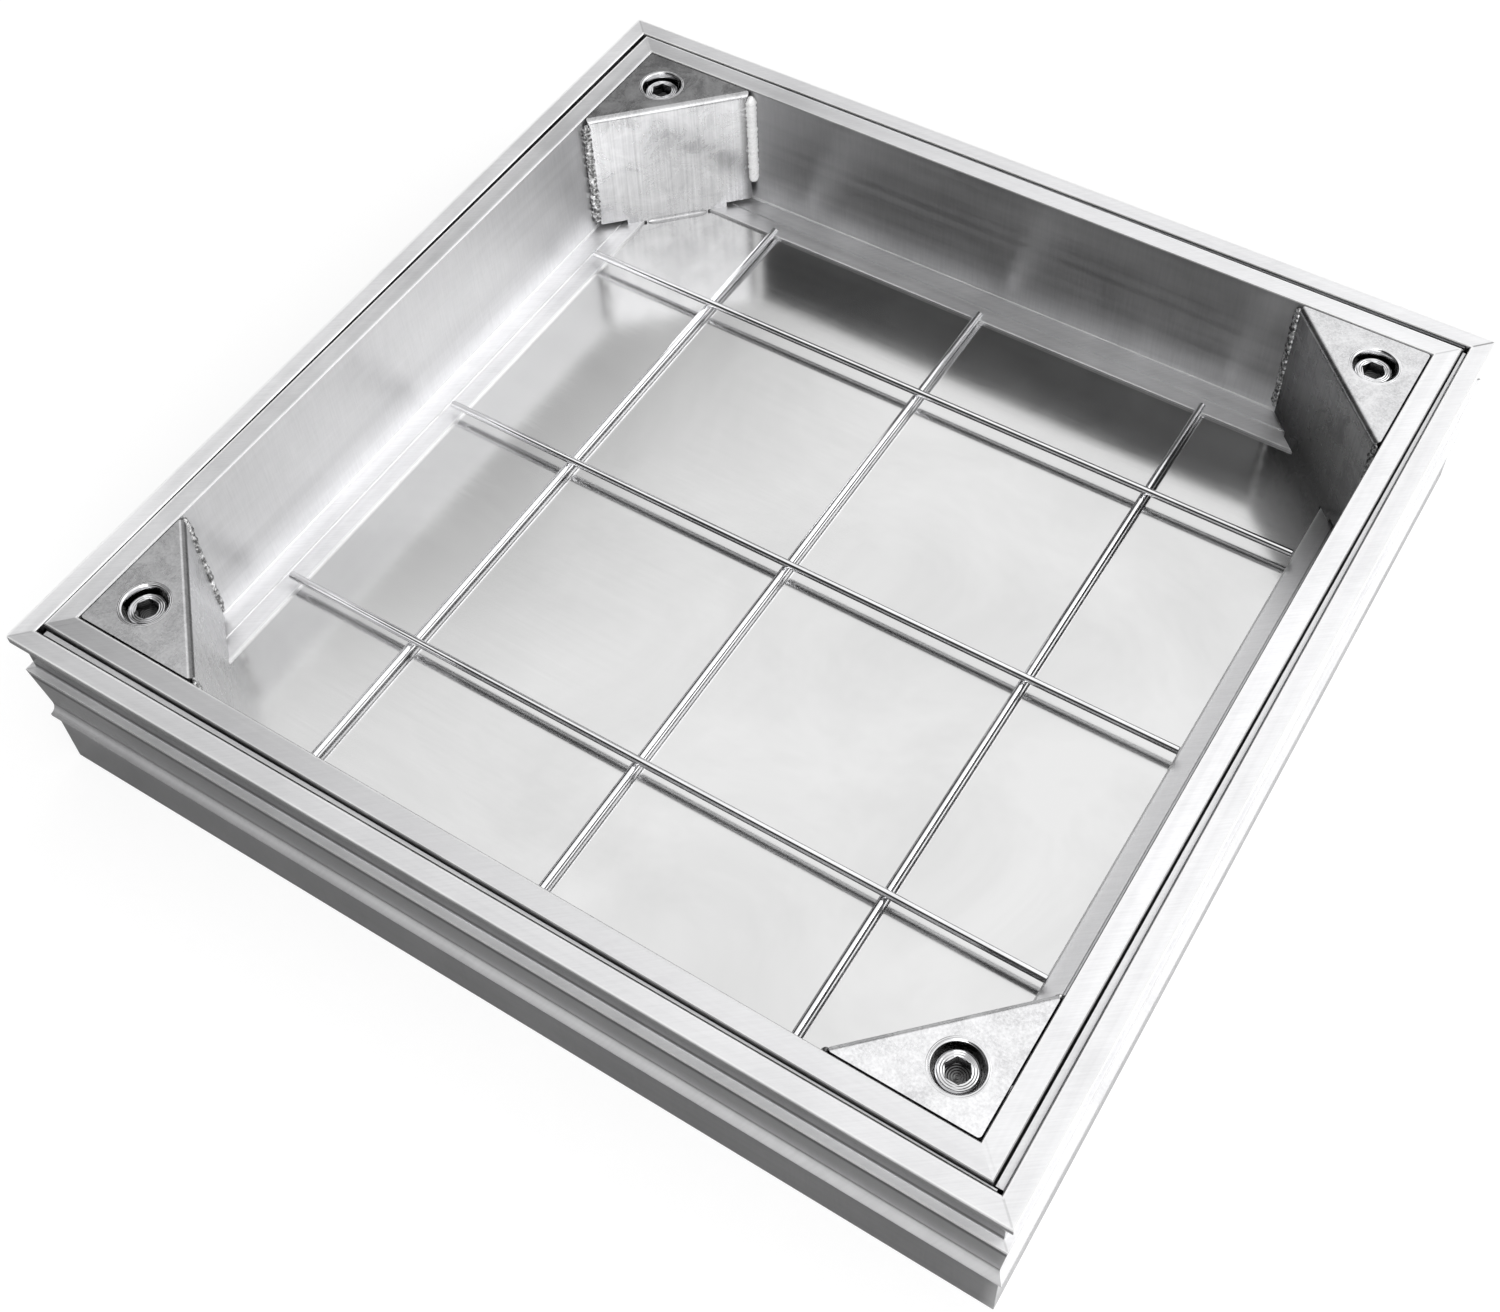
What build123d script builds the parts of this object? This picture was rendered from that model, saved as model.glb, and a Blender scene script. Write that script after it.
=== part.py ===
from build123d import *
from math import cos, radians, sin, sqrt
import os

# Recessed aluminium floor access cover: a mitred frame, and the tray that lies in it to take the
# paving. Millimetres, +Z up. The origin is in the middle of the frame's underside. X runs along
# the front side and Y from the front side to the back one.

os.makedirs("parts", exist_ok=True)

# Frame: overall sizes, then its extruded section from the top down.
# An inset is measured inwards from the frame's outer edge, a height from its underside.
frame_side = 500.0
frame_height = 100.0
flange_width = 9.6
lip_thickness = 3.0
lip_root_thickness = 4.0
web_inset = 4.2
frame_wall = 4.0
shelf_height = 74.0
shelf_edge_inset = 0.8
waist_inset = 3.2
waist_height = 46.0
rib_inset = 0.8
rib_top_height = 37.0
rib_land = 1.5
rib_root_height = 34.5
foot_inset = 2.6
seat_inner_inset = 30.0
seat_thickness = 5.0
seat_root_radius = 2.0
edge_break = 0.4
ground_corner_radius = 2.5

# Tray: the square that lies in the frame, nearer to the left and the back, and turned a little.
# The clearance is each side's gap to the flange when the tray lies in the middle.
tray_clearance = 2.65
tray_shift_x = -1.25
tray_shift_y = 0.85
tray_turn = -0.25
rim_width = 10.75
rim_thickness = 4.0
skin_thickness = 2.5
chamber_floor = 3.0
chamber_web = 2.5
ledge_above_foot = 13.0
ledge_width = 21.0
ledge_thickness = 4.5
tongue_width = 9.0
tongue_thickness = 1.5
groove_from_tongue = 0.9
groove_radius = 0.7
ledge_root_radius = 0.8

# Base plate, let in under the tongues of the ledges, with its corners cut off
plate_thickness = 3.0
plate_clearance = 0.5
plate_corner_cut = 34.0

# Seal between the frame's seat and the tray's foot
seal_thickness = 3.0
seal_outer_inset = 9.0
seal_inner_inset = 27.0

# Reinforcement rods
rod_diameter = 4.0
rod_wall_margin = 95.5
rod_end_gap = 18.0
rod_end_break = 0.4
lower_rod_shift = -3.3
upper_rod_shift = 6.8
upper_rod_end_shift = -1.8

# Corner pockets, each folded from one sheet
pocket_leg = 69.5
pocket_sheet = 2.5
pocket_bend = 3.0
pocket_gap = 0.8
pocket_tip_radius = 2.0
pocket_corner_radius = 1.5
panel_weld_gap = 3.2
tongue_clearance = 1.0
notch_width = 14.2
notch_height = 3.0

# Screws, the cups that their heads lie in, and the tapped blocks under them
screw_diameter = 12.0
screw_tip_height = 4.5
screw_tip_break = 1.2
head_diameter = 18.0
head_height = 12.0
head_edge_break = 1.0
head_below_top = 3.5
socket_across_flats = 10.0
socket_depth = 6.0
screw_from_wall = 20.8
screw_clearance = 1.0
cup_wall = 2.0
cup_head_clearance = 1.5
cup_floor = 3.0
cup_mouth_break = 0.7
cup_screw_clearance = 0.75
block_leg = 50.0
block_thickness = 14.0
thread_clearance = 0.1

# Heights and half sizes that follow from the sizes above
tray_side = frame_side - 2 * (flange_width + tray_clearance)
tray_foot = seat_thickness + seal_thickness
ledge_height = tray_foot + ledge_above_foot
plate_top = ledge_height - tongue_thickness
plate_bottom = plate_top - plate_thickness
cavity_half = tray_side / 2 - rim_width
screw_offset = cavity_half - screw_from_wall
head_top = frame_height - head_below_top
head_bottom = head_top - head_height
screw_length = head_bottom - screw_tip_height
cup_outer_radius = head_diameter / 2 + cup_head_clearance + cup_wall
rod_radius = rod_diameter / 2
rod_pitch = cavity_half - rod_wall_margin
rod_length = 2 * (cavity_half - rod_end_gap)

# The sides and the corners, by the compass angle of the way from each one to the middle
side_angles = {"front": 90, "right": 180, "back": 270, "left": 0}
corner_angles = {"front_left": 45, "front_right": 135, "back_right": 225, "back_left": 315}
tray_middle = Vector(tray_shift_x, tray_shift_y, 0)
tray_plane = Plane(
    origin=tray_middle,
    x_dir=(cos(radians(tray_turn)), sin(radians(tray_turn)), 0),
    z_dir=(0, 0, 1),
)


def heading(angle):
    """The level direction at an angle from +X."""
    return Vector(cos(radians(angle)), sin(radians(angle)), 0)


def section_plane(middle, half_side, angle):
    """The plane of a bar's section: its x is the inset and its y the height."""
    inwards = heading(angle)
    return Plane(origin=middle - inwards * half_side, x_dir=inwards, z_dir=heading(angle - 90))


def corner_plane(height, angle):
    """A level plane at a cavity corner of the tray, with both walls along its axes."""
    to_corner = heading(angle + tray_turn) * (-cavity_half * sqrt(2))
    return Plane(
        origin=tray_middle + to_corner + Vector(0, 0, height),
        x_dir=heading(angle + tray_turn - 45),
        z_dir=(0, 0, 1),
    )


def cut_mitres(middle, angle):
    """Cuts both ends of the bar that is being made at 45 degrees."""
    for turn in (-45, 45):
        split(bisect_by=Plane(origin=middle, z_dir=heading(angle + turn)), keep=Keep.BOTTOM)


def finish(part, name):
    """Names a finished piece and writes it."""
    part.label = name
    export_step(part, f"parts/{name}.step")


def frame_section(plane):
    """The frame's extrusion: lip, web, shelf, waisted face, rib, foot and seat."""
    inner_top = web_inset + frame_wall
    inner_bottom = foot_inset + frame_wall
    jog_top = shelf_height - frame_wall / 2
    jog_bottom = shelf_height - frame_wall
    with BuildSketch(plane) as section:
        with BuildLine():
            Polyline(
                (waist_inset, waist_height),
                (shelf_edge_inset, shelf_height),
                (web_inset, shelf_height),
                (web_inset, frame_height - lip_root_thickness),
                (0, frame_height - lip_thickness),
                (0, frame_height - edge_break),
                (edge_break, frame_height),
                (flange_width - edge_break, frame_height),
                (flange_width, frame_height - edge_break),
                (flange_width, frame_height - lip_root_thickness),
                (inner_top, frame_height - lip_root_thickness),
                (inner_top, jog_top),
                (inner_bottom, jog_bottom),
                (inner_bottom, seat_thickness + seat_root_radius),
            )
            RadiusArc(
                (inner_bottom, seat_thickness + seat_root_radius),
                (inner_bottom + seat_root_radius, seat_thickness),
                seat_root_radius,
            )
            Polyline(
                (inner_bottom + seat_root_radius, seat_thickness),
                (seat_inner_inset, seat_thickness),
                (seat_inner_inset, 0),
                (foot_inset, 0),
                (foot_inset, rib_root_height),
                (rib_inset, rib_top_height - rib_land),
                (rib_inset, rib_top_height),
            )
            TangentArc(
                (waist_inset, waist_height),
                (rib_inset, rib_top_height),
                tangent=(waist_inset - shelf_edge_inset, waist_height - shelf_height),
            )
        make_face()
    return section.sketch


def tray_section(plane):
    """The tray's extrusion: a two-skinned wall with the rim on top and the ledge at its foot."""
    ledge_end = rim_width + ledge_width
    tongue_root = ledge_end - tongue_width
    groove = tongue_root - groove_from_tongue
    inner_skin = rim_width - skin_thickness
    with BuildSketch(plane) as section:
        with BuildLine():
            Polyline(
                (rim_width + ledge_root_radius, ledge_height),
                (ledge_end, ledge_height),
                (ledge_end, plate_top),
                (tongue_root, plate_top),
                (tongue_root, ledge_height - ledge_thickness),
                (rim_width, ledge_height - ledge_thickness),
                (rim_width, tray_foot),
                (0, tray_foot),
                (0, frame_height - edge_break),
                (edge_break, frame_height),
                (rim_width - edge_break, frame_height),
                (rim_width, frame_height - edge_break),
                (rim_width, ledge_height + ledge_root_radius),
            )
            RadiusArc(
                (rim_width, ledge_height + ledge_root_radius),
                (rim_width + ledge_root_radius, ledge_height),
                ledge_root_radius,
            )
        make_face()
        with Locations((groove, ledge_height)):
            Circle(groove_radius, mode=Mode.SUBTRACT)
        upper_low = ledge_height
        upper_high = frame_height - rim_thickness
        lower_low = tray_foot + chamber_floor
        lower_high = ledge_height - chamber_web
        for low, high in ((upper_low, upper_high), (lower_low, lower_high)):
            with Locations(((skin_thickness + inner_skin) / 2, (low + high) / 2)):
                Rectangle(inner_skin - skin_thickness, high - low, mode=Mode.SUBTRACT)
    return section.sketch


def make_frame_bars():
    """The frame's four mitred bars, with the front left corner ground round."""
    for side, angle in side_angles.items():
        with BuildPart() as bar:
            section = frame_section(section_plane(Vector(0, 0, 0), frame_side / 2, angle))
            extrude(section, amount=frame_side / 2, both=True)
            cut_mitres(Vector(0, 0, 0), angle)
            with BuildSketch() as outline:
                Rectangle(frame_side, frame_side)
                front_left = outline.vertices().sort_by_distance((-frame_side, -frame_side, 0))[0]
                fillet(front_left, ground_corner_radius)
            extrude(amount=frame_height, mode=Mode.INTERSECT)
        finish(bar.part, f"frame_{side}")


def make_tray_bars():
    """The tray's four mitred bars, with clearance for the screws at the ledge corners."""
    for side, angle in side_angles.items():
        with BuildPart() as bar:
            bar_angle = angle + tray_turn
            section = tray_section(section_plane(tray_middle, tray_side / 2, bar_angle))
            extrude(section, amount=tray_side / 2, both=True)
            cut_mitres(tray_middle, bar_angle)
            with BuildSketch(tray_plane):
                with GridLocations(2 * screw_offset, 2 * screw_offset, 2, 2):
                    Circle(screw_diameter / 2 + screw_clearance)
            extrude(amount=frame_height - rim_thickness, mode=Mode.SUBTRACT)
        finish(bar.part, f"tray_{side}")


def make_base_plate():
    """The sheet that closes the tray's bottom, under the tongues."""
    edge = cavity_half - ledge_width + tongue_width - plate_clearance
    with BuildPart() as plate:
        with BuildSketch(tray_plane.offset(plate_bottom)) as outline:
            Rectangle(2 * edge, 2 * edge)
            chamfer(outline.vertices(), plate_corner_cut)
        extrude(amount=plate_thickness)
    finish(plate.part, "base_plate")


def make_seal():
    """The flat gasket on the frame's seat."""
    with BuildPart() as gasket:
        with BuildSketch(Plane.XY.offset(seat_thickness)):
            Rectangle(frame_side - 2 * seal_outer_inset, frame_side - 2 * seal_outer_inset)
            Rectangle(
                frame_side - 2 * seal_inner_inset,
                frame_side - 2 * seal_inner_inset,
                mode=Mode.SUBTRACT,
            )
        extrude(amount=seal_thickness)
    finish(gasket.part, "seal")


def make_rod(name, plane):
    """One rod, with its ends broken."""
    with BuildPart() as rod:
        with BuildSketch(plane):
            Circle(rod_radius)
        extrude(amount=rod_length / 2, both=True)
        chamfer(rod.edges().filter_by(GeomType.CIRCLE), rod_end_break)
    finish(rod.part, name)


def make_rods():
    """Three rods across the ledges from front to back, and three on top of them the other way."""
    lower_height = ledge_height + rod_radius
    upper_height = lower_height + rod_diameter
    for number in (1, 2, 3):
        step = (number - 2) * rod_pitch
        lower = tray_middle + Vector(step + lower_rod_shift, 0, lower_height)
        upper = tray_middle + Vector(upper_rod_end_shift, step + upper_rod_shift, upper_height)
        make_rod(f"lower_rod_{number}", Plane(origin=lower, z_dir=(0, 1, 0)))
        make_rod(f"upper_rod_{number}", Plane(origin=upper, z_dir=(1, 0, 0)))


def make_corner_pocket(corner, angle):
    """One folded sheet: a triangular top, a bend along its long side and an upright panel."""
    face = pocket_leg / sqrt(2)
    inner_bend = pocket_bend - pocket_sheet
    underside = frame_height - pocket_sheet
    fold_angle = angle + tray_turn
    fold_plane = Plane(
        origin=tray_middle + heading(fold_angle) * (-cavity_half * sqrt(2)),
        x_dir=heading(fold_angle),
        z_dir=heading(fold_angle - 90),
    )
    with BuildPart() as pocket:
        with BuildSketch(fold_plane):
            with BuildLine():
                Polyline(
                    (face - pocket_bend, underside),
                    (0, underside),
                    (0, frame_height),
                    (face - pocket_bend, frame_height),
                )
                RadiusArc(
                    (face - pocket_bend, frame_height),
                    (face, frame_height - pocket_bend),
                    pocket_bend,
                )
                Polyline(
                    (face, frame_height - pocket_bend),
                    (face, plate_top),
                    (face - pocket_sheet, plate_top),
                    (face - pocket_sheet, underside - inner_bend),
                )
                RadiusArc(
                    (face - pocket_sheet, underside - inner_bend),
                    (face - pocket_bend, underside),
                    -inner_bend,
                )
            make_face()
        extrude(amount=pocket_leg, both=True)
        with BuildSketch(corner_plane(plate_top, angle)) as outline:
            with BuildLine():
                Polyline(
                    (pocket_gap, pocket_gap),
                    (pocket_leg - pocket_gap, pocket_gap),
                    (pocket_gap, pocket_leg - pocket_gap),
                    close=True,
                )
            make_face()
            fillet(outline.vertices().sort_by_distance((0, 0, 0))[1:], pocket_tip_radius)
            fillet(outline.vertices().sort_by_distance((0, 0, 0))[0], pocket_corner_radius)
        extrude(amount=frame_height - plate_top, mode=Mode.INTERSECT)
        with BuildSketch(corner_plane(plate_top, angle)):
            Rectangle(panel_weld_gap, pocket_leg, align=(Align.MIN, Align.MIN))
            Rectangle(pocket_leg, panel_weld_gap, align=(Align.MIN, Align.MIN))
        extrude(amount=frame_height - pocket_bend - plate_top, mode=Mode.SUBTRACT)
        ledge_clear = ledge_width + tongue_clearance
        steps = (
            (plate_top, ledge_clear, tongue_thickness),
            (ledge_height, notch_width, notch_height),
        )
        for low, width, height in steps:
            with BuildSketch(corner_plane(low, angle)):
                Rectangle(width, pocket_leg, align=(Align.MIN, Align.MIN))
                Rectangle(pocket_leg, width, align=(Align.MIN, Align.MIN))
            extrude(amount=height, mode=Mode.SUBTRACT)
        with BuildSketch(corner_plane(frame_height - pocket_sheet, angle)):
            with Locations((screw_from_wall, screw_from_wall)):
                Circle(cup_outer_radius)
        extrude(amount=pocket_sheet, mode=Mode.SUBTRACT)
    finish(pocket.part, f"corner_pocket_{corner}")


def make_screw_cup(corner, angle):
    """The turned cup that is let into the pocket's top and holds the screw's head."""
    middle = corner_plane(0, angle).from_local_coords((screw_from_wall, screw_from_wall, 0))
    bore = head_diameter / 2 + cup_head_clearance
    hole = screw_diameter / 2 + cup_screw_clearance
    cup_bottom = head_bottom - cup_floor
    with BuildPart() as cup:
        with BuildSketch(Plane(origin=middle, x_dir=(1, 0, 0), z_dir=(0, -1, 0))):
            with BuildLine():
                Polyline(
                    (hole, cup_bottom),
                    (cup_outer_radius, cup_bottom),
                    (cup_outer_radius, frame_height),
                    (bore + cup_mouth_break, frame_height),
                    (bore, frame_height - cup_mouth_break),
                    (bore, head_bottom),
                    (hole, head_bottom),
                    close=True,
                )
            make_face()
        revolve(axis=Axis(middle, (0, 0, 1)))
    finish(cup.part, f"screw_cup_{corner}")


def make_corner_block(corner, angle):
    """The tapped block in a corner of the frame's opening, under a screw."""
    opening_half = frame_side / 2 - seat_inner_inset
    to_corner = heading(angle) * (-opening_half * sqrt(2))
    screw = corner_plane(0, angle).from_local_coords((screw_from_wall, screw_from_wall, 0))
    with BuildPart() as block:
        with BuildSketch(Plane(origin=to_corner, x_dir=heading(angle - 45), z_dir=(0, 0, 1))):
            with BuildLine():
                Polyline((0, 0), (block_leg, 0), (0, block_leg), close=True)
            make_face()
        extrude(amount=block_thickness)
        with Locations(Location(screw + Vector(0, 0, block_thickness))):
            Hole(radius=screw_diameter / 2 + thread_clearance, depth=block_thickness)
    finish(block.part, f"corner_block_{corner}")


def make_screws():
    """The four long socket-head screws, as one group."""
    with BuildPart() as screws:
        with BuildSketch(tray_plane.offset(head_bottom)):
            with GridLocations(2 * screw_offset, 2 * screw_offset, 2, 2):
                Circle(head_diameter / 2)
        extrude(amount=head_height)
        top_edges = screws.edges().filter_by(GeomType.CIRCLE).group_by(Axis.Z)[-1]
        chamfer(top_edges, head_edge_break)
        with BuildSketch(tray_plane.offset(head_bottom)):
            with GridLocations(2 * screw_offset, 2 * screw_offset, 2, 2):
                Circle(screw_diameter / 2)
        extrude(amount=-screw_length)
        tip_edges = screws.edges().filter_by(GeomType.CIRCLE).group_by(Axis.Z)[0]
        chamfer(tip_edges, screw_tip_break)
        with BuildSketch(tray_plane.offset(head_top)):
            with GridLocations(2 * screw_offset, 2 * screw_offset, 2, 2):
                RegularPolygon(socket_across_flats / 2, 6, major_radius=False)
        extrude(amount=-socket_depth, mode=Mode.SUBTRACT)
    finish(screws.part, "screws")


make_frame_bars()
make_tray_bars()
make_base_plate()
make_seal()
make_rods()
for corner_name, corner_angle in corner_angles.items():
    make_corner_pocket(corner_name, corner_angle)
    make_screw_cup(corner_name, corner_angle)
    make_corner_block(corner_name, corner_angle)
make_screws()
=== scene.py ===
import math
import random

import bmesh
import bpy
from mathutils import Matrix, Vector


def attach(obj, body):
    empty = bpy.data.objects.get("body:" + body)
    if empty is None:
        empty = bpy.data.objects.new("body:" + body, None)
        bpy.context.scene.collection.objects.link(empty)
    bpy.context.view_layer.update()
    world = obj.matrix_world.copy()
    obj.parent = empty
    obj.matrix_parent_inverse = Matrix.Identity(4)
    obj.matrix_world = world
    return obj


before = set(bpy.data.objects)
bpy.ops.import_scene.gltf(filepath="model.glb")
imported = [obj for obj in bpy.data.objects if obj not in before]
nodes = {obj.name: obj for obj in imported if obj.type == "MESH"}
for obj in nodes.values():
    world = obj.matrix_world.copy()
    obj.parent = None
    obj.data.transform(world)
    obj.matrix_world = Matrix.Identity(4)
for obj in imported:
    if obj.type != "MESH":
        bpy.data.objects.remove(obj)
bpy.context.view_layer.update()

# The cover lies with its middle over the origin, X along the front side and Y to the back.
mm = 0.001
sides = ("front", "right", "back", "left")
corners = ("front_left", "front_right", "back_right", "back_left")
towardsX = {"front_left": 1, "front_right": -1, "back_right": -1, "back_left": 1}
towardsY = {"front_left": 1, "front_right": 1, "back_right": -1, "back_left": -1}
outwards = {
    "front": Vector((0, -1, 0)), "right": Vector((1, 0, 0)),
    "back": Vector((0, 1, 0)), "left": Vector((-1, 0, 0)),
}

# The tray lies a little off the frame's middle and slightly turned
trayMiddle = Vector((-1.25, 0.85, 0)) * mm
trayTurn = Matrix.Rotation(math.radians(-0.25), 3, "Z")
trayHalf = 237.75 * mm
cavityHalf = 227.0 * mm
frameHalf = 250.0 * mm
plateTop = 19.5 * mm
pocketLeg = 69.5 * mm


def inTray(x, y, z):
    return trayMiddle + trayTurn @ Vector((x, y, z))


# Camera

cameraLook = {
    "place": (0.3193, -0.4887, 0.8095),
    "aim": (-0.02386, 0.00654, 0.05),   # where the optical axis meets the cover
    "roll": -3.184,                     # degrees
    "lens": 47.744,                     # mm, as the sensor
    "sensor": 36,
    "shiftUp": -0.0907,
}


def makeCamera(look):
    camera = bpy.data.cameras.new("camera")
    camera.sensor_width = look["sensor"]
    camera.lens = look["lens"]
    camera.shift_y = look["shiftUp"]
    camera.clip_start = 0.01
    camera.dof.use_dof = False
    holder = bpy.data.objects.new("camera", camera)
    bpy.context.scene.collection.objects.link(holder)
    place = Vector(look["place"])
    aim = (Vector(look["aim"]) - place).to_track_quat("-Z", "Y").to_matrix().to_4x4()
    roll = Matrix.Rotation(math.radians(look["roll"]), 4, "Z")
    holder.matrix_world = Matrix.Translation(place) @ aim @ roll
    bpy.context.scene.camera = holder


makeCamera(cameraLook)
print("camera in place")


# Node helpers for the materials. Inputs are named by their socket, or by i and its number

def addNode(tree, kind, settings=None, **inputs):
    node = tree.nodes.new(kind)
    for name, value in (settings or {}).items():
        setattr(node, name, value)
    for name, value in inputs.items():
        socket = node.inputs[int(name[1:])] if name[0] == "i" and name[1:].isdigit() else node.inputs[name]
        if isinstance(value, bpy.types.NodeSocket):
            tree.links.new(value, socket)
        else:
            socket.default_value = value
    return node


def objectCoords(tree):
    return addNode(tree, "ShaderNodeTexCoord").outputs["Object"]


def stretched(tree, scale):
    mapping = addNode(tree, "ShaderNodeMapping", Vector=objectCoords(tree), Scale=scale)
    return mapping.outputs["Vector"]


def noiseAt(tree, scale, detail=3, roughness=0.5, distortion=0.0):
    node = addNode(tree, "ShaderNodeTexNoise", Vector=stretched(tree, scale), Scale=1.0,
                   Detail=detail, Roughness=roughness, Distortion=distortion)
    return node.outputs["Fac"]


def remap(tree, value, low, high, toLow=0.0, toHigh=1.0):
    node = addNode(tree, "ShaderNodeMapRange", Value=value)
    node.inputs["From Min"].default_value = low
    node.inputs["From Max"].default_value = high
    node.inputs["To Min"].default_value = toLow
    node.inputs["To Max"].default_value = toHigh
    return node.outputs["Result"]


def maths(tree, operation, first, second=0.0):
    return addNode(tree, "ShaderNodeMath", {"operation": operation}, i0=first, i1=second).outputs["Value"]


def product(tree, first, second):
    return maths(tree, "MULTIPLY", first, second)


def blendValues(tree, first, second, share):
    return maths(tree, "ADD", product(tree, first, 1 - share), product(tree, second, share))


def without(tree, value):
    return maths(tree, "SUBTRACT", 1.0, value)


def scaled(tree, vector, factor):
    node = addNode(tree, "ShaderNodeVectorMath", {"operation": "SCALE"}, i0=vector, Scale=factor)
    return node.outputs["Vector"]


def blendColour(tree, factor, first, second):
    node = addNode(tree, "ShaderNodeMix", {"data_type": "RGBA"}, Factor=factor)
    for index, value in ((6, first), (7, second)):
        if isinstance(value, bpy.types.NodeSocket):
            tree.links.new(value, node.inputs[index])
        else:
            node.inputs[index].default_value = (*value, 1)
    return node.outputs[2]


# Colour between a look's dark and pale, and roughness between its two values, after a noise

def toneFrom(tree, noise, low, high, look):
    return blendColour(tree, remap(tree, noise, low, high), look["dark"], look["pale"])


def roughFrom(tree, noise, look):
    return remap(tree, noise, 0.35, 0.65, *look["rough"])


def newMaterial(name, metallic, **constants):
    material = bpy.data.materials.new(name)
    material.use_nodes = True
    tree = material.node_tree
    shader = tree.nodes["Principled BSDF"]
    shader.inputs["Metallic"].default_value = metallic
    for socket, value in constants.items():
        shader.inputs[socket].default_value = value
    return material, tree, shader


# Relief from layers of height, strength and depth, each laid over the one before

def bumpFrom(tree, shader, layers):
    normal = None
    for height, strength, distance in layers:
        bump = addNode(tree, "ShaderNodeBump", Height=height, Strength=strength, Distance=distance)
        if normal is not None:
            tree.links.new(normal, bump.inputs["Normal"])
        normal = bump.outputs["Normal"]
    tree.links.new(normal, shader.inputs["Normal"])


def dress(node, material):
    mesh = nodes[node].data
    if not mesh.materials:
        mesh.materials.append(material)
    for index in range(len(mesh.materials)):
        mesh.materials[index] = material


# How far a point lies inside the outer edge of a bar, and which way its surface looks

def insetOf(tree, outward, middle, half):
    along = addNode(
        tree, "ShaderNodeVectorMath", {"operation": "DOT_PRODUCT"}, i0=objectCoords(tree), i1=outward)
    return maths(tree, "SUBTRACT", half + middle.dot(outward), along.outputs["Value"])


def heightOf(tree):
    return addNode(tree, "ShaderNodeSeparateXYZ", Vector=objectCoords(tree)).outputs["Z"]


def lookingUp(tree):
    normal = addNode(tree, "ShaderNodeNewGeometry").outputs["Normal"]
    return addNode(tree, "ShaderNodeSeparateXYZ", Vector=normal).outputs["Z"]


def levelness(tree):
    return remap(tree, lookingUp(tree), 0.6, 0.95)


# Full within so much of a place, and gone at so much more

def bandAt(tree, value, place, full, gone, strength=1.0):
    apart = maths(tree, "ABSOLUTE", maths(tree, "SUBTRACT", value, place))
    return remap(tree, apart, full, gone, strength, 0.0)


def lineAt(tree, inset, place, width):
    return bandAt(tree, inset, place, width * 0.5, width)


# Extruded aluminium of the frame and the tray: die lines run along each bar, and blur what it
# reflects across them. Level faces have a pale film, the walls are barer and get painted shade,
# more on some sides than on others, and the edges get a painted highlight

extrusionLook = {
    "frame": {"pale": (0.95, 0.95, 0.96), "dark": (0.76, 0.76, 0.77), "rough": (0.40, 0.52),
              "film": 0.45, "edges": (0.0004, 0.0092), "wallRough": 0.45,
              "walls": {"front": 0.71, "right": 0.95, "back": 0.86, "left": 0.86}},
    "tray": {"pale": (0.93, 0.93, 0.94), "dark": (0.74, 0.74, 0.75), "rough": (0.34, 0.46),
             "film": 0.12, "edges": (0.0004, 0.0104, 0.0316), "wallRough": 1.0,
             "walls": {"front": 0.55, "right": 0.26, "back": 0.53, "left": 0.68}},
    # The welded mitres were ground flush, and a thin dark line is left, most in the corner at
    # the back on the right
    "mitres": {"frame": 0.75, "tray": 0.25},
    "mitreWidth": 0.0008,
    "mitreTone": (0.16, 0.16, 0.16),
    # Tone of the painted highlight along the edges
    "edgeHighlightTone": (0.98, 0.98, 0.98),
    # Outside of the frame: painted shade in its profile's hollows by height, width and darkness, and its ribs
    # by height and width. The ribs get a painted highlight, on the front more and more towards its right end
    "hollows": ((0.0825, 0.0125, 0.48), (0.0766, 0.0028, 0.78), (0.0695, 0.0032, 0.75),
                (0.0322, 0.0014, 0.75), (0.0455, 0.0015, 0.35)),
    "hollowSides": {"front": 1.0, "right": 0.22, "back": 0.6, "left": 0.8},
    "ribs": ((0.0390, 0.0125), (0.0732, 0.0036)),
    "ribSlope": 0.25,
    "ribHighlightBySide": {"front": (0.25, 0.95), "right": (0.4, 0.4), "back": (0.3, 0.3), "left": (0.3, 0.3)},
    "edgeWidth": 0.0009,
    "lineScale": 1500.0,      # die lines across the bar, per metre
    "bandScale": 190.0,
    "lineLength": 2.5,        # and along it
    "bandBump": 0.00002,
    "lineBump": 0.000006,
    "cloudScale": 16.0,
    "scratchAngle": 52.0,     # degrees
    "scratchScale": (1400.0, 60.0, 60.0),
    "scratchBump": 0.00001,
    # Shares of bands, clouds and scratches in the metal's tone
    "shares": (0.35, 0.45, 0.20),
    # The tray's walls are as bright as its ledge below, and get their painted shade above
    "trayFoot": (0.022, 0.045),
    # Where hollows and ribs are full and where they end, as shares of their width
    "hollowEdge": (0.4, 0.55),
    "ribEdge": (0.3, 0.5),
    # How far along the front side the ribs' painted highlight grows
    "ribHighlightAlong": (-0.23, 0.20),
    # The mitres' line by x + y: where it grows, from how much to how much
    "mitreAlong": (0.3, 0.4, 0.3, 1.0),
}


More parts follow.
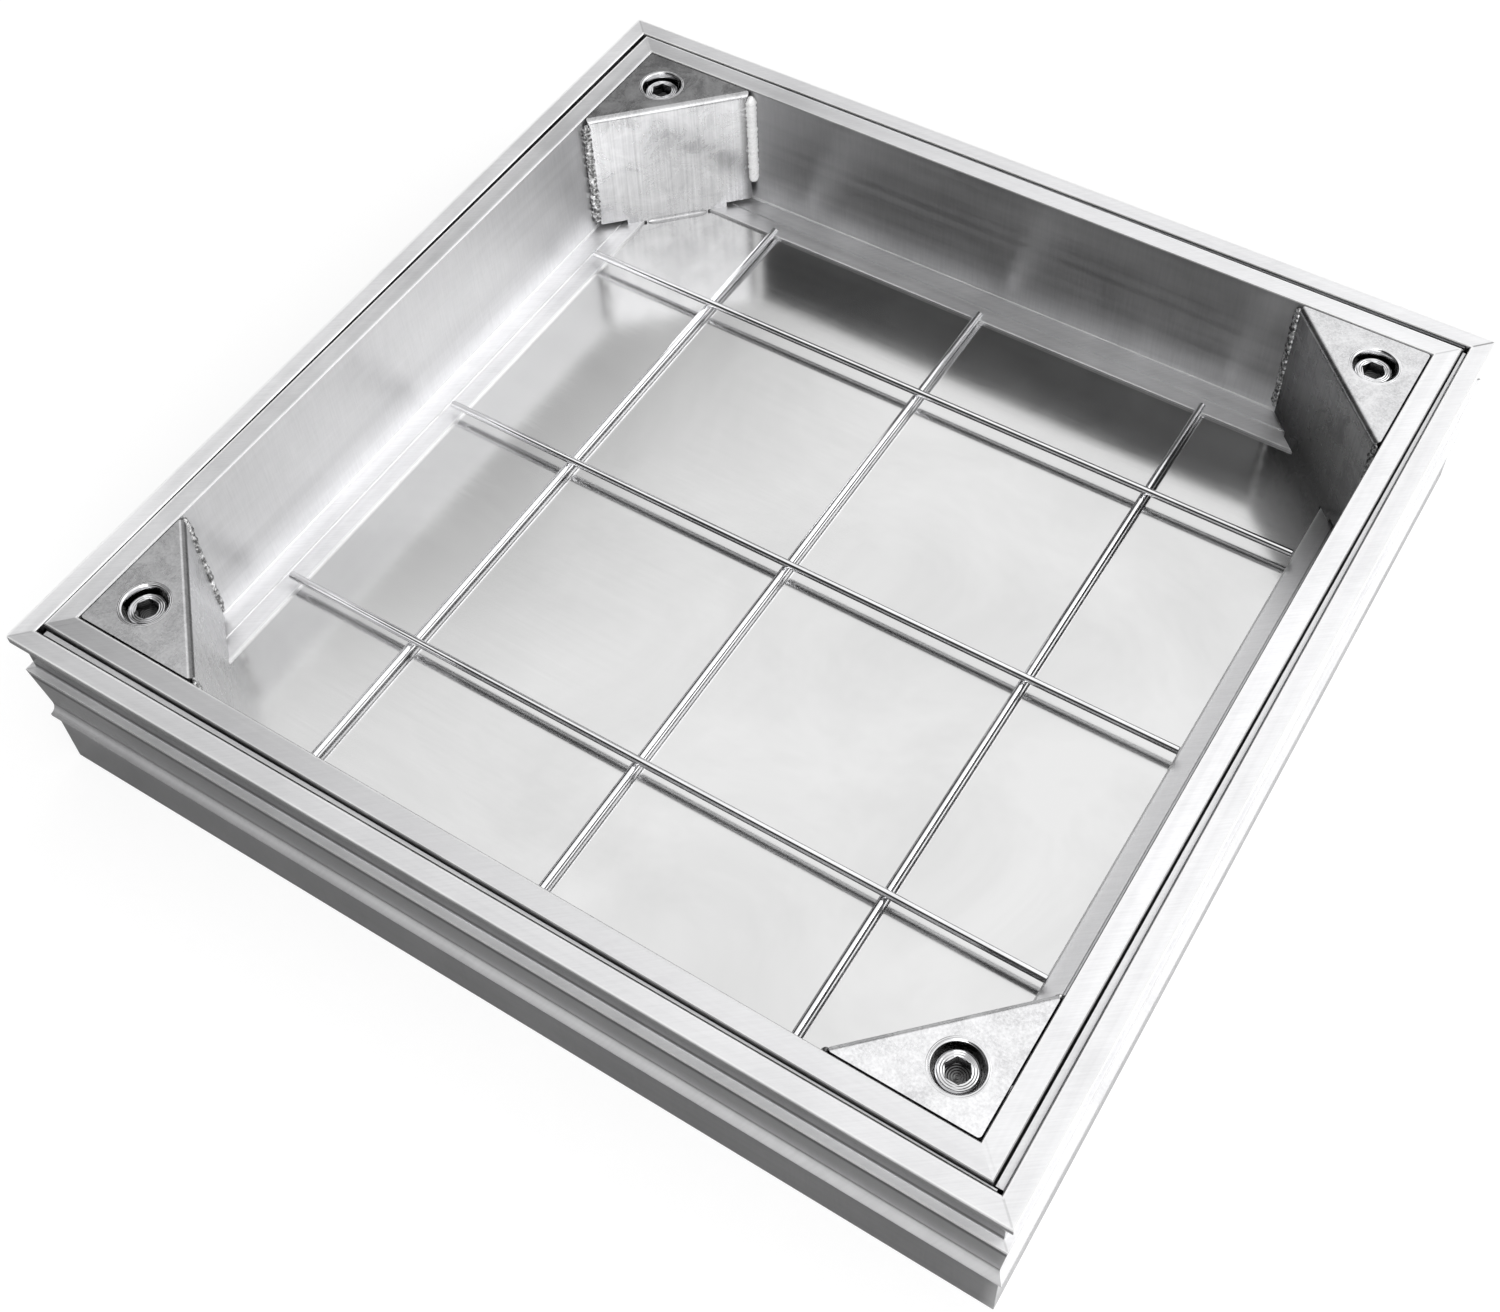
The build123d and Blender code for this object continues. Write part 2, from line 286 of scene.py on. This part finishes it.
def makeExtrusion(look, part, side):
    tones = look[part]
    alongX = side in ("front", "back")
    material, tree, shader = newMaterial(f"{part}_{side}_aluminium", 1.0, Anisotropic=0.7)
    along, across, broad = look["lineLength"], look["lineScale"], look["bandScale"]
    lines = noiseAt(tree, (along, across, across) if alongX else (across, along, across), detail=2)
    bands = noiseAt(tree, (along, broad, broad) if alongX else (broad, along, broad), detail=3)
    cloud = noiseAt(tree, (look["cloudScale"],) * 3, detail=5, roughness=0.62, distortion=0.4)
    turned = addNode(tree, "ShaderNodeMapping", Vector=objectCoords(tree),
                     Rotation=(0, 0, math.radians(look["scratchAngle"])))
    grain = addNode(tree, "ShaderNodeMapping", Vector=turned.outputs["Vector"], Scale=look["scratchScale"])
    scratches = addNode(
        tree, "ShaderNodeTexNoise", Vector=grain.outputs["Vector"], Scale=1.0, Detail=3).outputs["Fac"]
    ofBands, ofCloud, ofScratches = look["shares"]
    tone = maths(tree, "ADD", product(tree, bands, ofBands), product(tree, cloud, ofCloud))
    tone = maths(tree, "ADD", tone, product(tree, scratches, ofScratches))
    metal = toneFrom(tree, tone, 0.38, 0.62, tones)

    # Painted shade: the walls, by side, and the hollows are darker than what lies level
    level = levelness(tree)
    height = heightOf(tree)
    wall = tones["walls"][side]
    if part == "tray":
        inset = insetOf(tree, trayTurn @ outwards[side], trayMiddle, trayHalf)
        wall = remap(tree, height, *look["trayFoot"], 1.0, wall)
    else:
        inset = insetOf(tree, outwards[side], Vector((0, 0, 0)), frameHalf)
    paintedShade = maths(tree, "MAXIMUM", level, wall)
    if part == "frame":
        full, gone = look["hollowEdge"]
        # Painted shade in the hollows, more on some sides than on others
        for middle, width, dark in look["hollows"]:
            dark *= look["hollowSides"][side]
            hollowShade = bandAt(tree, height, middle, width * full, width * gone, dark)
            paintedShade = product(tree, paintedShade, without(tree, hollowShade))
    shadedMetal = scaled(tree, metal, paintedShade)

    # Painted highlight along the edges, and the line along the mitres, where x and y are alike
    edgeHighlight = None
    for edge in tones["edges"]:
        line = lineAt(tree, inset, edge, look["edgeWidth"])
        edgeHighlight = line if edgeHighlight is None else maths(tree, "MAXIMUM", edgeHighlight, line)
    edgeHighlight = product(tree, product(tree, edgeHighlight, level), remap(tree, cloud, 0.3, 0.6, 0.5, 1.0))
    place = addNode(tree, "ShaderNodeSeparateXYZ", Vector=objectCoords(tree))
    apart = maths(tree, "SUBTRACT", maths(tree, "ABSOLUTE", place.outputs["X"]),
                  maths(tree, "ABSOLUTE", place.outputs["Y"]))
    diagonal = maths(tree, "ADD", place.outputs["X"], place.outputs["Y"])
    mitre = product(tree, level, remap(tree, diagonal, *look["mitreAlong"]))
    mitre = product(tree, lineAt(tree, apart, 0.0, look["mitreWidth"]), mitre)
    shadedMetal = blendColour(tree, product(tree, mitre, look["mitres"][part]), shadedMetal, look["mitreTone"])
    tree.links.new(blendColour(tree, edgeHighlight, shadedMetal, look["edgeHighlightTone"]), shader.inputs["Base Color"])

    # Film, and the painted highlights on the ribs and along the edges, take away from what the metal reflects
    bare = remap(tree, level, 0.0, 1.0, 1.0, 1.0 - tones["film"])
    bare = product(tree, bare, remap(tree, edgeHighlight, 0.0, 1.0, 1.0, 0.5))
    layers = [
        (bands, 0.3, look["bandBump"]), (lines, 0.3, look["lineBump"]), (scratches, 0.3, look["scratchBump"])]
    if part == "frame":
        # Painted highlight: the ribs are less metallic towards the front's right end, so they catch more lamp
        # light
        ribHighlight = remap(tree, place.outputs["X"], *look["ribHighlightAlong"], *look["ribHighlightBySide"][side])
        full, gone = look["ribEdge"]
        for middle, width in look["ribs"]:
            rib = product(tree, bandAt(tree, height, middle, width * full, width * gone), ribHighlight)
            bare = product(tree, bare, without(tree, rib))
            slope = remap(tree, height, middle - width / 2, middle + width / 2, 1.0, 0.0)
            layers.append((slope, 1.0, width * look["ribSlope"]))
    tree.links.new(bare, shader.inputs["Metallic"])
    rough = roughFrom(tree, blendValues(tree, bands, cloud, 0.5), tones)
    rough = product(tree, rough, remap(tree, level, 0.0, 1.0, tones["wallRough"], 1.0))
    tree.links.new(maths(tree, "ADD", rough, product(tree, edgeHighlight, 0.3)), shader.inputs["Roughness"])
    tangent = addNode(
        tree, "ShaderNodeTangent", {"direction_type": "RADIAL", "axis": "X" if alongX else "Y"})
    tree.links.new(tangent.outputs["Tangent"], shader.inputs["Tangent"])
    bumpFrom(tree, shader, layers)
    return material


# Each side of frame and tray gets its own material, and they differ in painted shade on the walls and in the
# ribs' painted highlight
for side in sides:
    for part in ("frame", "tray"):
        dress(f"{part}_{side}", makeExtrusion(extrusionLook, part, side))
print("frame and tray dressed")


# Rolled sheet of the base plate: a half mirror, with soft clouds

plateLook = {
    "pale": (0.70, 0.70, 0.70), "dark": (0.61, 0.61, 0.61), "rough": (0.12, 0.18),
    "cloudScale": 9.0, "rollScale": (30.0, 900.0, 30.0), "rollDepth": 0.000002, "cloudDepth": 0.0002,
}


def makePlateMaterial(look):
    material, tree, shader = newMaterial("plate_aluminium", 1.0)
    cloud = noiseAt(tree, (look["cloudScale"],) * 3, detail=6, roughness=0.6, distortion=0.6)
    rolling = noiseAt(tree, look["rollScale"], detail=3)
    tree.links.new(toneFrom(tree, cloud, 0.35, 0.65, look), shader.inputs["Base Color"])
    wear = blendValues(tree, rolling, cloud, 0.6)
    tree.links.new(roughFrom(tree, wear, look), shader.inputs["Roughness"])
    bumpFrom(tree, shader, ((rolling, 0.15, look["rollDepth"]), (cloud, 0.15, look["cloudDepth"])))
    return material


dress("base_plate", makePlateMaterial(plateLook))


# Sanded sheet of the corner pockets: mottled, with fine scratches that run up the panels

pocketLook = {
    "pale": (0.90, 0.90, 0.91), "dark": (0.60, 0.60, 0.61), "rough": (0.22, 0.34),
    "mottleScale": 60.0, "scratchScale": (900.0, 900.0, 14.0),
    "mottleDepth": 0.00006, "scratchDepth": 0.000006,
    # Painted light and shade: how bright the top is, and the panel at the upper and at the lower of these
    # heights
    "heights": (0.09, 0.03),
    "tones": {"front_left": (0.95, 0.74, 0.68), "front_right": (1.0, 0.9, 0.9),
              "back_right": (0.84, 0.72, 0.08), "back_left": (0.60, 1.1, 0.82)},
    # Soot beside the far pocket's weld: up to what distance from the wall it is full, and where
    # it ends
    "sooty": "back_left",
    "soot": (0.0046, 0.0078),
    # Painted light on each fold: its tone, shade on three pockets and a highlight on the near one, and how
    # bare its metal is
    "foldLight": {"front_left": (0.28, 1.0), "front_right": (1.0, 0.3),
              "back_right": (0.8, 1.0), "back_left": (0.85, 0.8)},
}


def makePocketMaterial(look, corner):
    material, tree, shader = newMaterial(f"pocket_{corner}_aluminium", 1.0)
    mottle = noiseAt(tree, (look["mottleScale"],) * 3, detail=6, roughness=0.7, distortion=0.8)
    scratches = noiseAt(tree, look["scratchScale"], detail=3)
    grain = blendValues(tree, mottle, scratches, 0.4)
    metal = toneFrom(tree, grain, 0.36, 0.62, look)
    # Painted light and shade: each pocket's top and panel get their own brightness, lower towards the panel's
    # foot
    top, high, low = look["tones"][corner]
    highFrom, lowFrom = look["heights"]
    panel = remap(tree, heightOf(tree), lowFrom, highFrom, low, high)
    more = maths(tree, "SUBTRACT", top, panel)
    tone = maths(tree, "ADD", panel, product(tree, levelness(tree), more))
    up = lookingUp(tree)
    fold = product(tree, remap(tree, up, 0.05, 0.2), remap(tree, up, 0.9, 0.99, 1.0, 0.0))
    # Painted shade on the folds, and on the near pocket a painted highlight through less metal
    foldLightTone, bare = look["foldLight"][corner]
    tone = product(tree, tone, remap(tree, fold, 0.0, 1.0, 1.0, foldLightTone))
    if corner == look["sooty"]:
        apart = insetOf(tree, trayTurn @ outwards["back"], trayMiddle, cavityHalf)
        soot = product(tree, remap(tree, apart, *look["soot"], 1.0, 0.0), remap(tree, mottle, 0.36, 0.48))
        soot = product(tree, soot, remap(tree, up, 0.0, 0.3, 0.7, 0.0))
        tone = product(tree, tone, without(tree, soot))
    tree.links.new(remap(tree, fold, 0.0, 1.0, 1.0, bare), shader.inputs["Metallic"])
    tree.links.new(scaled(tree, metal, tone), shader.inputs["Base Color"])
    tree.links.new(roughFrom(tree, mottle, look), shader.inputs["Roughness"])
    bumpFrom(tree, shader, ((mottle, 0.3, look["mottleDepth"]), (scratches, 0.4, look["scratchDepth"])))
    return material


# Each corner gets its own material, and they differ in painted light and shade
for corner in corners:
    pocketMaterial = makePocketMaterial(pocketLook, corner)
    dress(f"corner_pocket_{corner}", pocketMaterial)
    dress(f"corner_block_{corner}", pocketMaterial)


# Bright drawn rods, turned cups and screws. The insides of the cups and of the screws' sockets
# get painted shade up to the first height of "deep", and none from the second one on

steelLook = {
    "rod": {"pale": (0.90, 0.90, 0.91), "dark": (0.74, 0.74, 0.75), "rough": (0.08, 0.16),
            "scale": (40, 40, 900)},
    "cup": {"pale": (0.80, 0.80, 0.81), "dark": (0.62, 0.62, 0.63), "rough": (0.08, 0.18),
            "scale": (300, 300, 4000), "turning": 9000.0, "groove": 0.00004,
            "deep": (0.0945, 0.0985), "deepTone": (0.42, 0.42, 0.42)},
    "screw": {"pale": (0.78, 0.78, 0.79), "dark": (0.54, 0.54, 0.55), "rough": (0.06, 0.14),
              "scale": (500, 500, 900), "turning": 6000.0, "groove": 0.00009,
              "deep": (0.0925, 0.0955), "deepTone": (0.10, 0.10, 0.10)},
    "cloudScale": 60.0,
    "depth": 0.000006,
}

# The screws' axes
screwPlaces = [
    Vector((x, y, 0)) * mm
    for x, y in ((-208.35, -204.45), (204.05, -206.25), (205.85, 206.15), (-206.55, 207.95))]


# Distance from the nearest screw's axis

def turningOf(tree):
    flat = addNode(
        tree, "ShaderNodeVectorMath", {"operation": "MULTIPLY"}, i0=objectCoords(tree), i1=(1, 1, 0))
    shortest = None
    for place in screwPlaces:
        away = addNode(
            tree, "ShaderNodeVectorMath", {"operation": "DISTANCE"}, i0=flat.outputs["Vector"], i1=place)
        away = away.outputs["Value"]
        shortest = away if shortest is None else maths(tree, "MINIMUM", shortest, away)
    return shortest


def makeSteel(look, name):
    own = look[name]
    material, tree, shader = newMaterial(f"{name}_steel", 1.0)
    fine = noiseAt(tree, own["scale"], detail=3)
    cloud = noiseAt(tree, (look["cloudScale"],) * 3, detail=4, roughness=0.6)
    tone = blendValues(tree, fine, cloud, 0.6)
    metal = toneFrom(tree, tone, 0.36, 0.64, own)
    if "deep" in own:
        # Painted shade inside the cups' bores and the screws' sockets
        insideShade = remap(tree, heightOf(tree), *own["deep"], 1.0, 0.0)
        metal = blendColour(tree, insideShade, metal, own["deepTone"])
    tree.links.new(metal, shader.inputs["Base Color"])
    tree.links.new(roughFrom(tree, tone, own), shader.inputs["Roughness"])
    layers = [(fine, 0.3, look["depth"])]
    if "turning" in own:
        rings = maths(tree, "SINE", product(tree, turningOf(tree), own["turning"]))
        layers.append((rings, 0.8, own["groove"]))
    bumpFrom(tree, shader, layers)
    return material


rodMaterial = makeSteel(steelLook, "rod")
for number in (1, 2, 3):
    dress(f"lower_rod_{number}", rodMaterial)
    dress(f"upper_rod_{number}", rodMaterial)
cupMaterial = makeSteel(steelLook, "cup")
for corner in corners:
    dress(f"screw_cup_{corner}", cupMaterial)
dress("screws", makeSteel(steelLook, "screw"))


# Seal: dusty rubber

sealLook = {
    "dark": (0.020, 0.020, 0.021), "pale": (0.045, 0.045, 0.046), "rough": (0.55, 0.8),
    "grainScale": 900.0, "dustScale": 35.0, "depth": 0.00005,
}


def makeSealMaterial(look):
    material, tree, shader = newMaterial("seal_rubber", 0.0)
    grain = noiseAt(tree, (look["grainScale"],) * 3, detail=4)
    dust = noiseAt(tree, (look["dustScale"],) * 3, detail=5, roughness=0.65)
    tree.links.new(toneFrom(tree, dust, 0.4, 0.7, look), shader.inputs["Base Color"])
    tree.links.new(roughFrom(tree, dust, look), shader.inputs["Roughness"])
    bumpFrom(tree, shader, ((grain, 0.5, look["depth"]),))
    return material


dress("seal", makeSealMaterial(sealLook))
print("sheet, steel and rubber dressed")


# Weld metal: silvery, rippled and sooty in its hollows

weldLook = {
    "pale": (0.94, 0.94, 0.94), "dark": (0.16, 0.16, 0.16), "rough": (0.2, 0.45),
    "grainScale": 900.0, "sootScale": 420.0, "depth": 0.00012,
    # How sooty: the tones of the noise between which dark turns to pale
    "clean": (0.16, 0.34), "sooty": (0.44, 0.60),
}


def makeWeldMaterial(look, kind, metallic, relief):
    material, tree, shader = newMaterial(f"weld_{kind}_aluminium", metallic)
    grain = noiseAt(tree, (look["grainScale"],) * 3, detail=4, roughness=0.6)
    soot = noiseAt(tree, (look["sootScale"],) * 3, detail=4, roughness=0.65)
    tree.links.new(toneFrom(tree, soot, *look[kind], look), shader.inputs["Base Color"])
    tree.links.new(roughFrom(tree, grain, look), shader.inputs["Roughness"])
    bumpFrom(tree, shader, ((grain, relief, look["depth"]),))
    return material


cleanWeld = makeWeldMaterial(weldLook, "clean", metallic=0.1, relief=0.15)
sootyWeld = makeWeldMaterial(weldLook, "sooty", metallic=1.0, relief=0.6)


# A piece of the scene's own, which rides with the cover

def addPiece(name, vertices, faces, material, smooth=True):
    mesh = bpy.data.meshes.new(name)
    mesh.from_pydata([tuple(vertex) for vertex in vertices], [], faces)
    mesh.validate()
    build = bmesh.new()
    build.from_mesh(mesh)
    bmesh.ops.recalc_face_normals(build, faces=build.faces)
    for face in build.faces:
        face.smooth = smooth
    build.to_mesh(mesh)
    build.free()
    mesh.materials.append(material)
    piece = bpy.data.objects.new(name, mesh)
    bpy.context.scene.collection.objects.link(piece)
    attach(piece, "root")


# A point given by how far it lies from the two walls that meet in a corner of the tray

def inCorner(corner, alongX, alongY, z):
    x = -towardsX[corner] * (cavityHalf - alongX)
    y = -towardsY[corner] * (cavityHalf - alongY)
    return inTray(x, y, z)


# The way from a corner of the tray to its middle

def awayFrom(corner):
    return (inCorner(corner, pocketLeg, pocketLeg, 0.0) - inCorner(corner, 0.0, 0.0, 0.0)).normalized()


# Rings of a lumpy bead: every ring has its own middle and size, and ripples as it was laid. The
# rings at both ends taper off

ringLook = {"ripple": 0.35, "rippleTurn": 1.9, "size": 0.3, "drift": 0.25, "lump": 0.12, "taper": (0.6, 3.5)}


def beadRings(centres, across, up, radii, count, seed, ragged):
    dice = random.Random(seed)
    size, drifting, lumps = (ringLook[name] * ragged for name in ("size", "drift", "lump"))
    tip, fullFrom = ringLook["taper"]
    vertices = []
    for index, centre in enumerate(centres):
        ripple = 1.0 + ragged * ringLook["ripple"] * math.sin(index * ringLook["rippleTurn"])
        ripple += dice.uniform(-size, size)
        drift = across * (radii[0] * dice.uniform(-drifting, drifting))
        fromEnd = min(index, len(centres) - 1 - index)
        taper = math.sin(min(1.0, (fromEnd + tip) / fullFrom) * math.pi / 2)
        for turn in range(count):
            angle = turn * 2 * math.pi / count
            lump = 1.0 + dice.uniform(-lumps, lumps)
            offset = across * (math.cos(angle) * radii[0]) + up * (math.sin(angle) * radii[1])
            vertices.append(centre + drift + offset * (ripple * taper * lump))
    return vertices


# Faces that join rings of so many points, with a cap at each end

def ringFaces(rings, count):
    faces = []
    for ring in range(rings - 1):
        for turn in range(count):
            following = (turn + 1) % count
            low, high = ring * count, (ring + 1) * count
            faces.append((low + turn, low + following, high + following, high + turn))
    faces.append(tuple(range(count)))
    faces.append(tuple((rings - 1) * count + turn for turn in reversed(range(count))))
    return faces


# Beads that join the pockets' upright edges to the tray's walls, between these heights

edgeBeads = {
    "back_left": {"x": (0.036, 0.0975), "y": (0.026, 0.0970)},
    "back_right": {"x": (0.026, 0.0985), "y": (0.026, 0.0985)},
    "front_left": {"x": (0.026, 0.0985), "y": (0.026, 0.0990)},
    "front_right": {"x": (0.026, 0.0980), "y": (0.026, 0.0980)},
}
beadLook = {
    "radii": (0.0024, 0.0019), "step": 0.0011, "ragged": 0.5, "count": 14, "fewest": 8,
    "fromWall": 0.0018, "fromEdge": 0.0026, "seed": 40,
    # The clean bead in the far corner: how much broader it is, and how ragged
    "broadest": ("back_left", "x"), "broad": (1.3, 0.22),
}


def makeEdgeBead(corner, wall, span, look, seed):
    low, high = span
    rings = max(look["fewest"], int((high - low) / look["step"]))
    near, far = look["fromWall"], pocketLeg - look["fromEdge"]
    ends = (far, near) if wall == "x" else (near, far)
    centres = [inCorner(corner, *ends, low + (high - low) * ring / (rings - 1)) for ring in range(rings)]
    out = awayFrom(corner)
    across = Vector((-out.y, out.x, 0))
    broadest = (corner, wall) == look["broadest"]
    broad, ragged = look["broad"] if broadest else (1.0, look["ragged"])
    radii = tuple(radius * broad for radius in look["radii"])
    vertices = beadRings(centres, across, out, radii, look["count"], seed, ragged)
    addPiece(f"edge_bead_{corner}_{wall}", vertices, ringFaces(rings, look["count"]),
             cleanWeld if broadest else sootyWeld)


for index, (corner, spans) in enumerate(edgeBeads.items()):
    for wall, span in spans.items():
        seed = beadLook["seed"] + index * 2 + (wall == "y")
        makeEdgeBead(corner, wall, span, beadLook, seed)
print("edge beads laid")


# Smooth fillet along the foot of the far pocket's panel, where it stands on the plate

footLook = {
    "start": 0.0222, "reach": 0.0022, "height": 0.0022, "steps": 40, "segments": 7,
    "sunk": 0.0002, "proud": 0.00005,
    # Size at the ends, and how fast it grows from there
    "tip": 0.12, "growth": 8,
}


def makeFootFillet(corner, look):
    start, end = look["start"], pocketLeg - look["start"]
    out = awayFrom(corner)
    proud = look["proud"]
    vertices = []
    count = look["segments"] + 2
    for step in range(look["steps"] + 1):
        share = step / look["steps"]
        place = start + (end - start) * share
        grown = look["tip"] + min(share, 1 - share) * look["growth"]
        size = math.sin(min(1.0, grown) * math.pi / 2)
        foot = inCorner(corner, place, pocketLeg - place, plateTop)
        vertices.append(foot - out * look["sunk"])
        for segment in range(look["segments"] + 1):
            angle = math.pi / 2 * segment / look["segments"]
            reach = look["reach"] * size * (1 - math.sin(angle))
            height = look["height"] * size * (1 - math.cos(angle))
            vertices.append(foot + out * (reach + proud) + Vector((0, 0, height + proud)))
    addPiece(f"foot_fillet_{corner}", vertices, ringFaces(look["steps"] + 1, count),
             nodes[f"corner_pocket_{corner}"].data.materials[0])


makeFootFillet("back_left", footLook)
print("foot fillet laid")


# Lump of weld under the flange at the near corner

lumpLook = {
    "place": (0.2452, -0.2452, 0.0935), "radius": 0.0040, "rings": 12, "count": 18, "seed": 7,
    "ragged": 0.10, "ridges": 0.12, "flat": 0.6,
}


def makeLump(look):
    dice = random.Random(look["seed"])
    vertices = []
    rings, count, ragged = look["rings"], look["count"], look["ragged"]
    for ring in range(rings):
        tilt = math.pi * (ring + 0.5) / rings
        for turn in range(count):
            angle = 2 * math.pi * turn / count
            ridge = look["ridges"] * math.sin(3 * angle + tilt * 2)
            size = look["radius"] * (1 + dice.uniform(-ragged, ragged) + ridge)
            vertices.append(Vector(look["place"]) + Vector((
                size * math.sin(tilt) * math.cos(angle), size * math.sin(tilt) * math.sin(angle),
                size * look["flat"] * math.cos(tilt))))
    addPiece("corner_weld", vertices, ringFaces(rings, count), cleanWeld)


makeLump(lumpLook)


# Pale lips that are seen in the gap between flange and tray. Each stands on a web under the flange

stripLook = {
    "outer": 0.0081, "foot": 0.0925, "web": 0.0940, "top": 0.0974, "ends": 0.0122,
    "steps": 40, "round": 0.0002,
    # Where each lip begins, and where it ends at its two ends: it follows the turned tray
    "lips": {"front": (0.0107, 0.0133, 0.0116), "right": (0.0102, 0.0136, 0.0118),
             "back": (0.0101, 0.0109, 0.0109)},
}


def makeGapStrip(side, look):
    outward = outwards[side]
    along = Vector((-outward.y, outward.x, 0))
    half = frameHalf - look["ends"]
    first, begin, end = look["lips"][side]
    turn, outer, web, top = look["round"], look["outer"], look["web"], look["top"]
    vertices = []
    for step in range(look["steps"] + 1):
        share = step / look["steps"]
        place = along * (half * (2 * share - 1))
        last = begin + (end - begin) * share
        profile = [
            (outer, web), (first, web), (first, top - turn), (first + turn, top),
            (last - turn, top), (last, top - turn), (last, look["foot"]), (outer, look["foot"])]
        for inset, height in profile:
            vertices.append(outward * (frameHalf - inset) + place + Vector((0, 0, height)))
    addPiece(f"gap_strip_{side}", vertices, ringFaces(look["steps"] + 1, len(profile)),
             nodes[f"frame_{side}"].data.materials[0], smooth=False)


for side in stripLook["lips"]:
    makeGapStrip(side, stripLook)
print("corner weld and gap strips in place")


# Floor, surroundings and lamps

stageLook = {
    "floorSize": 6.0,
    "floorColour": (0.30, 0.30, 0.30),
    "grainTone": 0.98,         # of the floor's colour
    "grainScale": 60.0,
    "floorGlow": 0.76,         # to the camera
    "paintedFloorGlow": 0.90,        # to metal: painted light, on the right and in front
    # Where that painted light begins and is full: to the right by x, and in front by y, there also by x
    # from how much to how much
    "glowRight": (0.24, 0.27),
    "glowFront": (-0.36, -0.46),
    "glowAlong": (-0.28, 0.15, 0.3, 1.0),
    "surroundings": 1.2,
    # Name, place, aim, size and power in watts
    "lamps": (
        ("key", (1.36, -1.08, 1.45), (0.0, 0.0, 0.05), 1.2, 1.5),
        ("front", (0.75, -1.50, 0.75), (0.0, 0.0, 0.05), 1.0, 9.0),
        ("side", (1.40, 1.10, 1.55), (0.0, 0.0, 0.05), 1.3, 8.0),
    ),
}

# The surroundings are bright, and fall off towards these four sides: direction, where the fall
# begins and ends as a dot product, and what is left
shadeLook = (
    ((-0.83, 0.50, 0.25), 0.76, 0.855, 0.04),
    ((-0.30, -0.62, 0.72), 0.79, 0.93, 0.03),
    ((-0.90, -0.05, 0.42), 0.78, 0.93, 0.12),
    ((-0.75, -0.65, 0.10), 0.70, 0.97, 0.30),
)


def makeFloor(look):
    size = look["floorSize"] / 2
    mesh = bpy.data.meshes.new("floor")
    ends = [(-size, -size, 0), (size, -size, 0), (size, size, 0), (-size, size, 0)]
    mesh.from_pydata(ends, [], [(0, 1, 2, 3)])
    floor = bpy.data.objects.new("floor", mesh)
    bpy.context.scene.collection.objects.link(floor)
    material, tree, shader = newMaterial("floor", 0.0, Roughness=0.9)
    grain = noiseAt(tree, (look["grainScale"],) * 3, detail=3)
    darker = tuple(value * look["grainTone"] for value in look["floorColour"])
    colour = blendColour(tree, remap(tree, grain, 0.3, 0.7), darker, look["floorColour"])
    tree.links.new(colour, shader.inputs["Base Color"])
    path = addNode(tree, "ShaderNodeLightPath")
    toCamera = product(tree, path.outputs["Is Camera Ray"], look["floorGlow"])
    place = addNode(tree, "ShaderNodeSeparateXYZ", Vector=objectCoords(tree))
    # Painted light: the floor glows to glossy rays only on the right and in front
    onRight = remap(tree, place.outputs["X"], *look["glowRight"])
    inFront = product(tree, remap(tree, place.outputs["Y"], *look["glowFront"]),
                      remap(tree, place.outputs["X"], *look["glowAlong"]))
    paintedGlow = product(tree, maths(tree, "MAXIMUM", onRight, inFront), look["paintedFloorGlow"])
    toGloss = product(tree, path.outputs["Is Glossy Ray"], paintedGlow)
    glow = addNode(tree, "ShaderNodeEmission", Strength=maths(tree, "MAXIMUM", toCamera, toGloss))
    both = addNode(tree, "ShaderNodeAddShader", i0=shader.outputs["BSDF"], i1=glow.outputs["Emission"])
    tree.links.new(both.outputs["Shader"], tree.nodes["Material Output"].inputs["Surface"])
    mesh.materials.append(material)


def makeWorld(look):
    world = bpy.data.worlds.new("surroundings")
    bpy.context.scene.world = world
    world.use_nodes = True
    tree = world.node_tree
    background = tree.nodes["Background"]
    background.inputs["Color"].default_value = (1, 1, 1, 1)
    direction = addNode(tree, "ShaderNodeTexCoord").outputs["Generated"]
    strength = look["surroundings"]
    for way, begin, end, left in shadeLook:
        facing = addNode(tree, "ShaderNodeVectorMath", {"operation": "DOT_PRODUCT"},
                         i0=direction, i1=Vector(way).normalized())
        fall = remap(tree, facing.outputs["Value"], begin, end, 1.0, left)
        strength = product(tree, strength, fall)
    path = addNode(tree, "ShaderNodeLightPath")
    strength = maths(tree, "MAXIMUM", strength, path.outputs["Is Camera Ray"])
    tree.links.new(strength, background.inputs["Strength"])


def makeLamp(name, place, aim, size, power):
    lamp = bpy.data.lights.new(name, "AREA")
    lamp.size = size
    lamp.energy = power
    holder = bpy.data.objects.new(name, lamp)
    holder.location = place
    holder.rotation_euler = (Vector(aim) - Vector(place)).to_track_quat("-Z", "Y").to_euler()
    bpy.context.scene.collection.objects.link(holder)


makeFloor(stageLook)
makeWorld(stageLook)
for lampLook in stageLook["lamps"]:
    makeLamp(*lampLook)
bpy.context.scene.view_settings.view_transform = "Standard"
print("stage and lamps in place")
